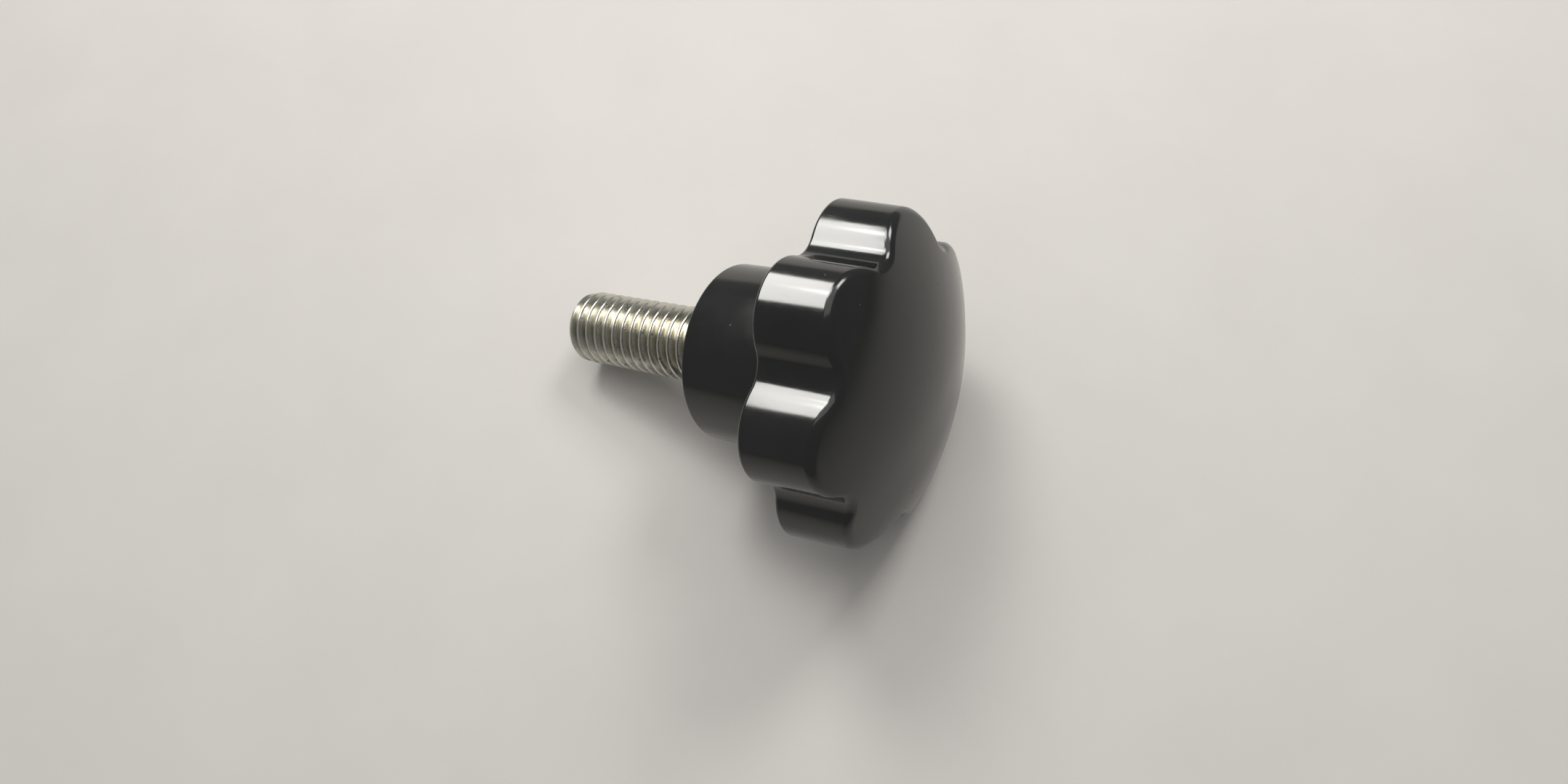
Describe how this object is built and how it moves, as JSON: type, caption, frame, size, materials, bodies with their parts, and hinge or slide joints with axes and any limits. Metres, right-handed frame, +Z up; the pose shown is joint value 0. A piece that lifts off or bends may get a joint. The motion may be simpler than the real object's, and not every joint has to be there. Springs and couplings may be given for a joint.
{
  "type": "thumb screw",
  "caption": "Thumb screw: a moulded black star knob with rounded lobes, a shallow domed top and a round hub, and a plated steel stud with a metric thread set in the hub.",
  "frame": {"origin": "on the floor, under the middle of the screw's outline as it lies at rest, so the floor is Z = 0", "axes": "+Z up; the stud's axis lies in the plane Y = 0 and rises about 20 degrees from its tip at -X to the dome at +X"},
  "size_m": [0.0429, 0.032, 0.0315],
  "materials": {
    "knob_plastic": "glossy black phenolic moulding",
    "plated_steel": "bright zinc plating on a rolled thread"
  },
  "bodies": {
    "root": {"knob": "knob_plastic", "threaded_stud": "plated_steel"}
  },
  "joints": []
}
